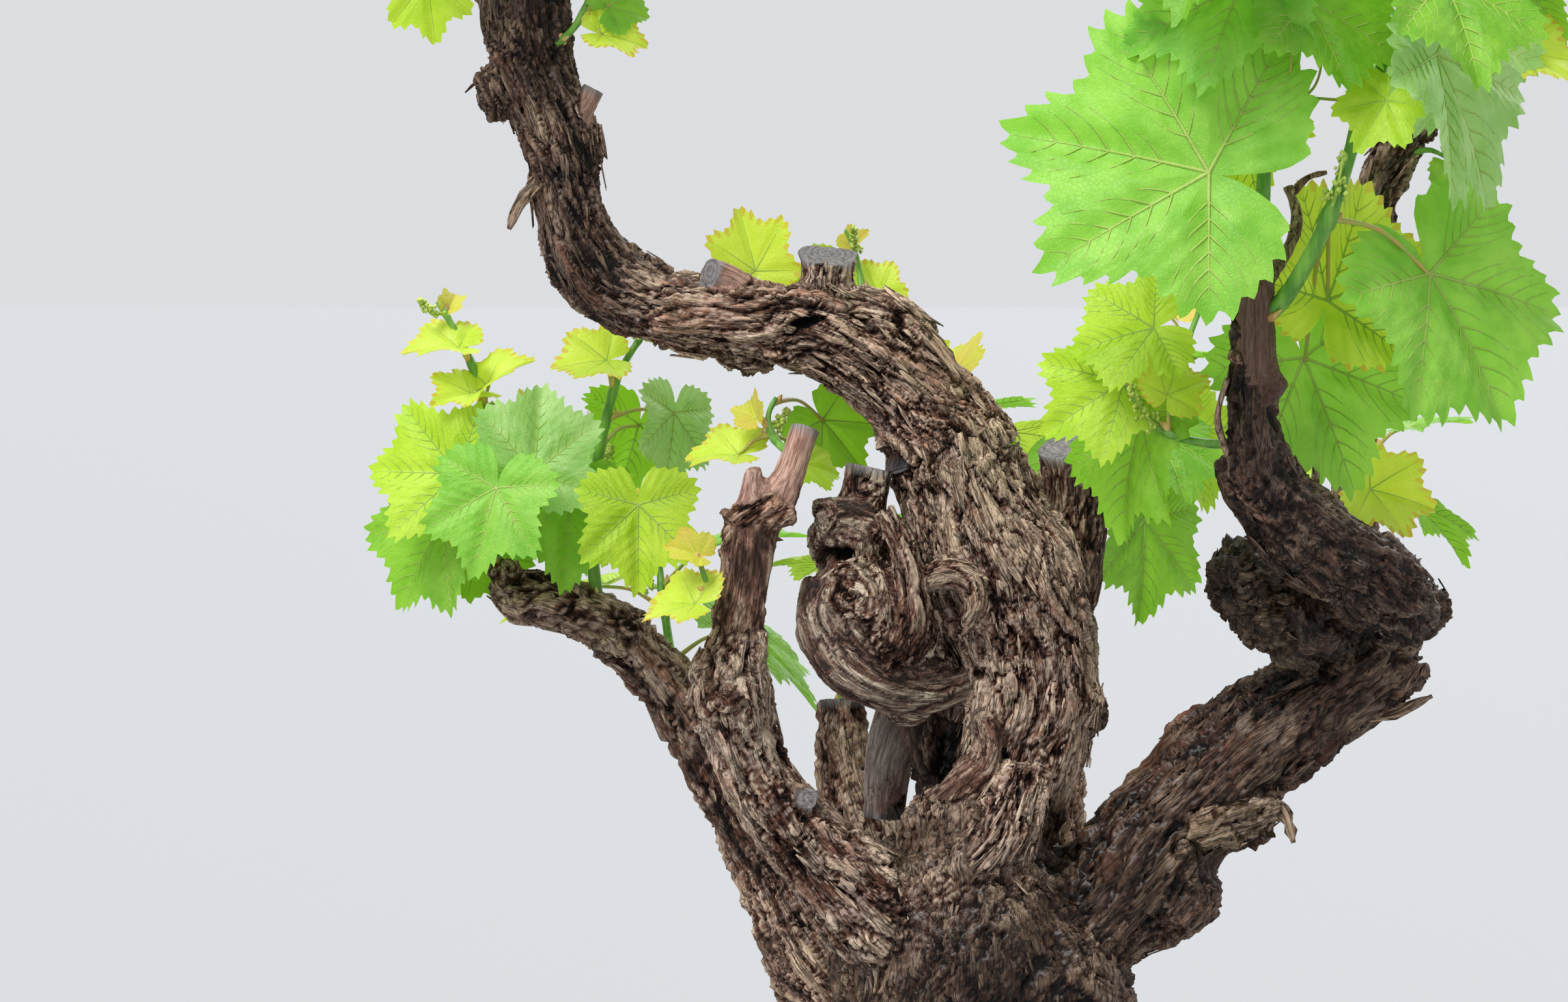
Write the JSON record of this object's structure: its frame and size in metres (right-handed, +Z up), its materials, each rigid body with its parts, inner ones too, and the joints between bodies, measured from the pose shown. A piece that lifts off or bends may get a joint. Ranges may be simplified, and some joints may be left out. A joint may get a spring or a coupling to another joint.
{
  "type": "grapevine",
  "caption": "Old gnarled grapevine in early leaf: a short flared trunk with burls, twisted bark-covered arms, pruned stubs and young leafy shoots, cut flat at ground level.",
  "frame": {"origin": "centre of the flat cut under the trunk, at ground level", "axes": "+Z up; +X to the right and +Y away from a viewer who stands in front of the vine"},
  "size_m": [0.4926, 0.4078, 0.842],
  "materials": {
    "bark": "rough",
    "cane": "satin",
    "foliage": "satin"
  },
  "bodies": {
    "root": {"trunk": "bark", "main_stem": "bark", "burl": "bark", "hanging_stub": "cane", "dead_stub": "bark", "s_arm_low": "bark", "s_arm_rise": "bark", "large_cut_stub": "bark", "small_cut_stub": "bark", "side_stub": "cane", "left_arm": "bark", "left_cane": "cane", "left_dead_tip": "cane", "back_left_arm": "bark", "right_arm": "bark", "right_knob": "bark", "front_spur": "bark", "front_dead_tip": "bark", "back_spur": "bark", "rear_arm": "bark", "rear_left_stub": "bark", "shoot_left_tip": "foliage", "shoot_left_middle": "foliage", "shoot_left_upright": "foliage", "shoot_left_rear": "foliage", "shoot_left_bud": "foliage", "shoot_cane": "foliage", "shoot_arm_leaf": "foliage", "shoot_arm_rear": "foliage", "shoot_rise_left": "foliage", "shoot_rise_right": "foliage", "shoot_top_left": "foliage", "shoot_top_right": "foliage", "shoot_front_side": "foliage", "shoot_front_left": "foliage", "shoot_front_right": "foliage", "shoot_knob": "foliage", "shoot_spur_side": "foliage", "shoot_spur_top": "foliage", "shoot_right_rear": "foliage", "shoot_rear_left": "foliage", "shoot_rear_right": "foliage", "shoot_rear_stub": "foliage"}
  },
  "joints": []
}
